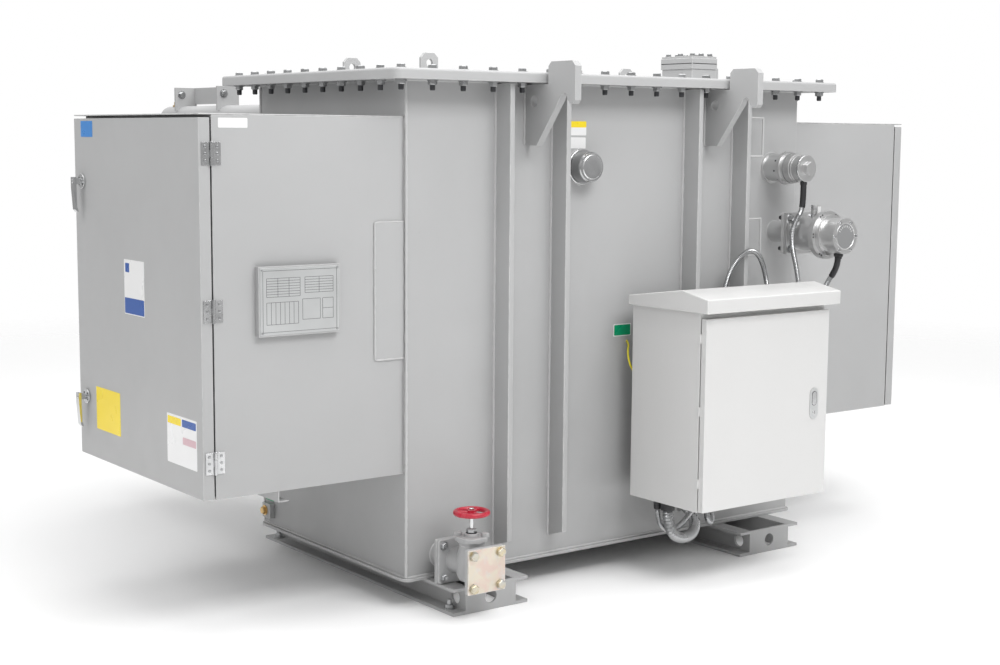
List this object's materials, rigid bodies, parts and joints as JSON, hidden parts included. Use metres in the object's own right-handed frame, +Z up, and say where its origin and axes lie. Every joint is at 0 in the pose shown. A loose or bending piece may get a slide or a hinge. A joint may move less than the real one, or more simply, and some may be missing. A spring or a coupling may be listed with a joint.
{
  "type": "power transformer",
  "caption": "Oil-filled power transformer: bolted tank on skids with high and low voltage terminal cabinets, control box, gauges, drain valve and rear radiators.",
  "frame": {"origin": "centre of the four anchor holes in the skids' lower flanges, at floor level", "axes": "+X to the right along the front wall, towards the low voltage cabinet; +Y from the control box side towards the radiators; +Z up"},
  "size_m": [3.051, 2.451, 1.759],
  "materials": {
    "grey_paint": "semi-gloss light grey enamel with fine orange peel",
    "box_paint": "semi-gloss pale grey powder coat",
    "red_paint": "gloss red enamel on cast iron",
    "yellow_zinc": "yellow passivated zinc plate",
    "bright_steel": "bright plated steel",
    "conduit_steel": "flexible metal conduit",
    "cast_alloy": "painted cast alloy",
    "engraved_plate": "matt metal plate, bare",
    "wire_sheath": "yellow and green wire sheath",
    "core_steel": "laminated steel and windings"
  },
  "bodies": {
    "housing": {"base_plate": "grey_paint", "box_conduits": "conduit_steel", "cabinet_patch_plate": "grey_paint", "cabinet_support_angle": "grey_paint", "cable_rods": "grey_paint", "control_box_body": "box_paint", "control_box_hood": "box_paint", "control_box_packers": "grey_paint", "core_and_windings": "core_steel", "cover": "grey_paint", "cover_lifting_lugs": "grey_paint", "drain_blank_plate": "yellow_zinc", "drain_stub": "grey_paint", "drain_valve": "grey_paint", "earth_wire": "wire_sheath", "front_lifting_brackets": "grey_paint", "front_stiffeners": "grey_paint", "gauge_conduits": "conduit_steel", "handhole_cover": "grey_paint", "handhole_neck": "grey_paint", "hv_cabinet_floor": "grey_paint", "hv_cabinet_frame": "grey_paint", "hv_cabinet_roof": "grey_paint", "hv_cabinet_sides": "grey_paint", "hv_hinges": "bright_steel", "level_gauge": "cast_alloy", "level_gauge_pipe": "grey_paint", "lv_cabinet_floor": "grey_paint", "lv_cabinet_frame": "grey_paint", "lv_cabinet_roof": "grey_paint", "lv_cabinet_sides": "grey_paint", "lv_hinges": "bright_steel", "nameplate": "engraved_plate", "nameplate_tray": "grey_paint", "radiator_headers": "grey_paint", "radiator_left_panels": "grey_paint", "radiator_lifting_bars": "grey_paint", "radiator_right_panels": "grey_paint", "rear_lifting_brackets": "grey_paint", "skid_left": "grey_paint", "skid_right": "grey_paint", "tank_front_wall": "grey_paint", "tank_rear_wall": "grey_paint", "tank_rim_flange": "grey_paint", "tank_side_walls": "grey_paint", "tap_changer_cap": "bright_steel", "temperature_gauge": "cast_alloy"},
    "hv_door": {"hv_door": "grey_paint", "hv_handle_plates": "bright_steel", "hv_door_hinge_leaves": "bright_steel"},
    "hv_upper_handle": {"hv_handle_upper": "bright_steel"},
    "hv_lower_handle": {"hv_handle_lower": "bright_steel"},
    "lv_door": {"lv_door": "grey_paint", "lv_handle_plates": "bright_steel", "lv_door_hinge_leaves": "bright_steel"},
    "lv_upper_handle": {"lv_handle_upper": "bright_steel"},
    "lv_lower_handle": {"lv_handle_lower": "bright_steel"},
    "control_box_door": {"control_box_door": "box_paint"},
    "drain_handwheel": {"drain_handwheel": "red_paint"}
  },
  "joints": [
    {"name": "hv_door_hinge", "type": "hinge", "parent": "housing", "child": "hv_door", "pos_m": [-1.4755, -0.436, 0.972], "axis": [0, 0, 1], "range_deg": [0, 110]},
    {"name": "hv_upper_handle_turn", "type": "hinge", "parent": "hv_door", "child": "hv_upper_handle", "pos_m": [-1.513, 0.398, 1.318], "axis": [1, 0, 0], "range_deg": [-90, 0]},
    {"name": "hv_lower_handle_turn", "type": "hinge", "parent": "hv_door", "child": "hv_lower_handle", "pos_m": [-1.513, 0.398, 0.624], "axis": [1, 0, 0], "range_deg": [-90, 0]},
    {"name": "lv_door_hinge", "type": "hinge", "parent": "housing", "child": "lv_door", "pos_m": [1.4265, 0.466, 0.972], "axis": [0, 0, 1], "range_deg": [0, 110]},
    {"name": "lv_upper_handle_turn", "type": "hinge", "parent": "lv_door", "child": "lv_upper_handle", "pos_m": [1.466, -0.368, 1.318], "axis": [1, 0, 0], "range_deg": [0, 90]},
    {"name": "lv_lower_handle_turn", "type": "hinge", "parent": "lv_door", "child": "lv_lower_handle", "pos_m": [1.466, -0.368, 0.624], "axis": [1, 0, 0], "range_deg": [0, 90]},
    {"name": "control_box_door_hinge", "type": "hinge", "parent": "housing", "child": "control_box_door", "pos_m": [0.016, -0.852, 0.585], "axis": [0, 0, 1], "range_deg": [-110, 0]},
    {"name": "drain_handwheel_turn", "type": "hinge", "parent": "housing", "child": "drain_handwheel", "pos_m": [-0.7, -0.608, 0.322], "axis": [0, 0, 1], "range_deg": [0, 1440]}
  ]
}
